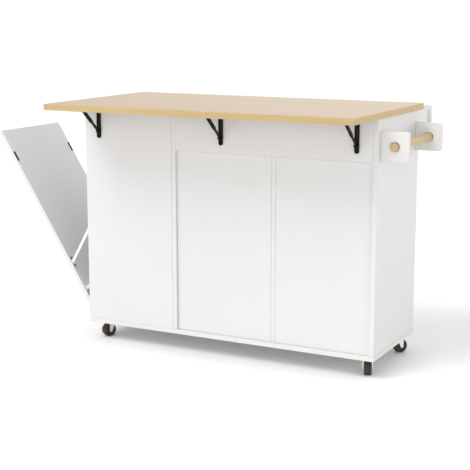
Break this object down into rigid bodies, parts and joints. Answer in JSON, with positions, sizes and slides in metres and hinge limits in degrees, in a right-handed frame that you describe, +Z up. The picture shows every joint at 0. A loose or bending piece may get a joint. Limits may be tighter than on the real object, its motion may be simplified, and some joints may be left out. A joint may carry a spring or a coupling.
{
  "type": "drop leaf kitchen island",
  "caption": "Rolling kitchen island cabinet with a drop leaf on folding brackets, a tilt-out bin door, drawers, cupboard doors and a towel rack at one end.",
  "frame": {"origin": "on the floor, under the middle of the cabinet's footprint", "axes": "+X along the cabinet to the towel rack end, +Y to the drawer side, away from the leaf, +Z up"},
  "size_m": [1.6786, 0.884, 0.914],
  "materials": {
    "white_board": "satin white foil on board",
    "pale_wood": "satin pale oak",
    "black_metal": "semi-matt black paint",
    "black_plastic": "fine satin",
    "zinc_steel": "zinc plated"
  },
  "bodies": {
    "cabinet": {"base_board": "white_board", "end_panel": "white_board", "bin_partition": "white_board", "storage_divider": "white_board", "drawer_decks": "white_board", "top_stretchers": "white_board", "bin_back_panel": "white_board", "bin_front_panel": "white_board", "bin_bottom_rail": "white_board", "back_rail": "white_board", "back_panels": "white_board", "shelves": "white_board", "shelf_pins": "zinc_steel", "worktop": "pale_wood", "towel_boards": "white_board", "towel_bar": "pale_wood", "bracket_wall_arms": "black_metal", "bracket_wall_rivets": "black_metal", "bin_hinge_frame_leaves": "zinc_steel", "bin_stay_studs": "zinc_steel", "bin_catches": "black_plastic", "door_hinge_frame_leaves": "zinc_steel", "runner_channels": "zinc_steel", "caster_plates": "zinc_steel"},
    "leaf": {"drop_leaf": "pale_wood", "bracket_leaf_arms": "black_metal", "bracket_leaf_rivets": "black_metal"},
    "lower_links": {"bracket_lower_links": "black_metal", "bracket_knee_rivets": "black_metal"},
    "upper_links": {"bracket_upper_links": "black_metal"},
    "bin": {"bin_door": "white_board", "bin_handle": "black_metal", "bin_handle_screws": "zinc_steel", "bin_ledge": "white_board", "bin_strike_plates": "black_metal", "bin_hinge_door_leaves": "zinc_steel", "bin_stay_brackets": "zinc_steel"},
    "stay_arms": {"bin_stay_arms": "zinc_steel"},
    "middle_drawer": {"middle_drawer_box": "white_board", "middle_drawer_front": "white_board", "middle_drawer_handle": "black_metal", "middle_drawer_slides": "zinc_steel"},
    "middle_door": {"middle_door_panel": "white_board", "middle_door_handle": "black_metal", "middle_door_hinge_leaves": "zinc_steel"},
    "end_drawer": {"end_drawer_box": "white_board", "end_drawer_front": "white_board", "end_drawer_handle": "black_metal", "end_drawer_slides": "zinc_steel"},
    "end_door": {"end_door_panel": "white_board", "end_door_handle": "black_metal", "end_door_hinge_leaves": "zinc_steel"},
    "fork_1": {"caster_fork_1": "zinc_steel"},
    "wheel_1": {"caster_wheel_1": "black_plastic"},
    "fork_2": {"caster_fork_2": "zinc_steel"},
    "wheel_2": {"caster_wheel_2": "black_plastic"},
    "fork_3": {"caster_fork_3": "zinc_steel"},
    "wheel_3": {"caster_wheel_3": "black_plastic"},
    "fork_4": {"caster_fork_4": "zinc_steel"},
    "wheel_4": {"caster_wheel_4": "black_plastic"}
  },
  "joints": [
    {"name": "leaf_fold", "type": "hinge", "parent": "cabinet", "child": "leaf", "pos_m": [0, -0.2165, 0.8795], "axis": [1, 0, 0], "range_deg": [0, 90]},
    {"name": "lower_link_turn", "type": "hinge", "parent": "cabinet", "child": "lower_links", "pos_m": [0, -0.2105, 0.7995], "axis": [1, 0, 0], "range_deg": [-45, 0]},
    {"name": "upper_link_turn", "type": "hinge", "parent": "leaf", "child": "upper_links", "pos_m": [0, -0.3085, 0.8855], "axis": [1, 0, 0], "range_deg": [0, 38]},
    {"name": "bin_tilt", "type": "hinge", "parent": "cabinet", "child": "bin", "pos_m": [-0.5792, 0, 0.109], "axis": [0, 1, 0], "range_deg": [0, 32.4]},
    {"name": "stay_turn", "type": "hinge", "parent": "bin", "child": "stay_arms", "pos_m": [-0.66179, 0, 0.28991], "axis": [0, 1, 0], "range_deg": [-62, 0]},
    {"name": "middle_drawer_slide", "type": "slide", "parent": "cabinet", "child": "middle_drawer", "axis": [0, 1, 0], "range_m": [0, 0.3]},
    {"name": "end_drawer_slide", "type": "slide", "parent": "cabinet", "child": "end_drawer", "axis": [0, 1, 0], "range_m": [-0.204, 0.096]},
    {"name": "middle_door_swing", "type": "hinge", "parent": "cabinet", "child": "middle_door", "pos_m": [-0.191, 0.2072, 0], "axis": [0, 0, 1], "range_deg": [0, 110]},
    {"name": "end_door_swing", "type": "hinge", "parent": "cabinet", "child": "end_door", "pos_m": [0.559, 0.2072, 0], "axis": [0, 0, 1], "range_deg": [-110, 0]},
    {"name": "caster_swivel_1", "type": "hinge", "parent": "cabinet", "child": "fork_1", "pos_m": [-0.525, -0.124, 0], "axis": [0, 0, 1], "continuous": true},
    {"name": "caster_roll_1", "type": "hinge", "parent": "fork_1", "child": "wheel_1", "pos_m": [-0.53289, -0.14018, 0.025], "axis": [0.8988, -0.4384, 0], "continuous": true},
    {"name": "caster_swivel_2", "type": "hinge", "parent": "cabinet", "child": "fork_2", "pos_m": [0.527, -0.124, 0], "axis": [0, 0, 1], "continuous": true},
    {"name": "caster_roll_2", "type": "hinge", "parent": "fork_2", "child": "wheel_2", "pos_m": [0.53345, -0.1408, 0.025], "axis": [0.9336, 0.3584, 0], "continuous": true},
    {"name": "caster_swivel_3", "type": "hinge", "parent": "cabinet", "child": "fork_3", "pos_m": [0.527, 0.156, 0], "axis": [0, 0, 1], "continuous": true},
    {"name": "caster_roll_3", "type": "hinge", "parent": "fork_3", "child": "wheel_3", "pos_m": [0.53833, 0.16999, 0.025], "axis": [-0.7771, 0.6293, 0], "continuous": true},
    {"name": "caster_swivel_4", "type": "hinge", "parent": "cabinet", "child": "fork_4", "pos_m": [-0.525, 0.156, 0], "axis": [0, 0, 1], "continuous": true},
    {"name": "caster_roll_4", "type": "hinge", "parent": "fork_4", "child": "wheel_4", "pos_m": [-0.54191, 0.16216, 0.025], "axis": [-0.342, -0.9397, 0], "continuous": true}
  ],
  "couplings": [
    {"joint": "lower_link_turn", "follows": "leaf_fold", "ratio": -0.47981},
    {"joint": "upper_link_turn", "follows": "leaf_fold", "ratio": 0.40233},
    {"joint": "stay_turn", "follows": "bin_tilt", "ratio": -1.8329}
  ]
}
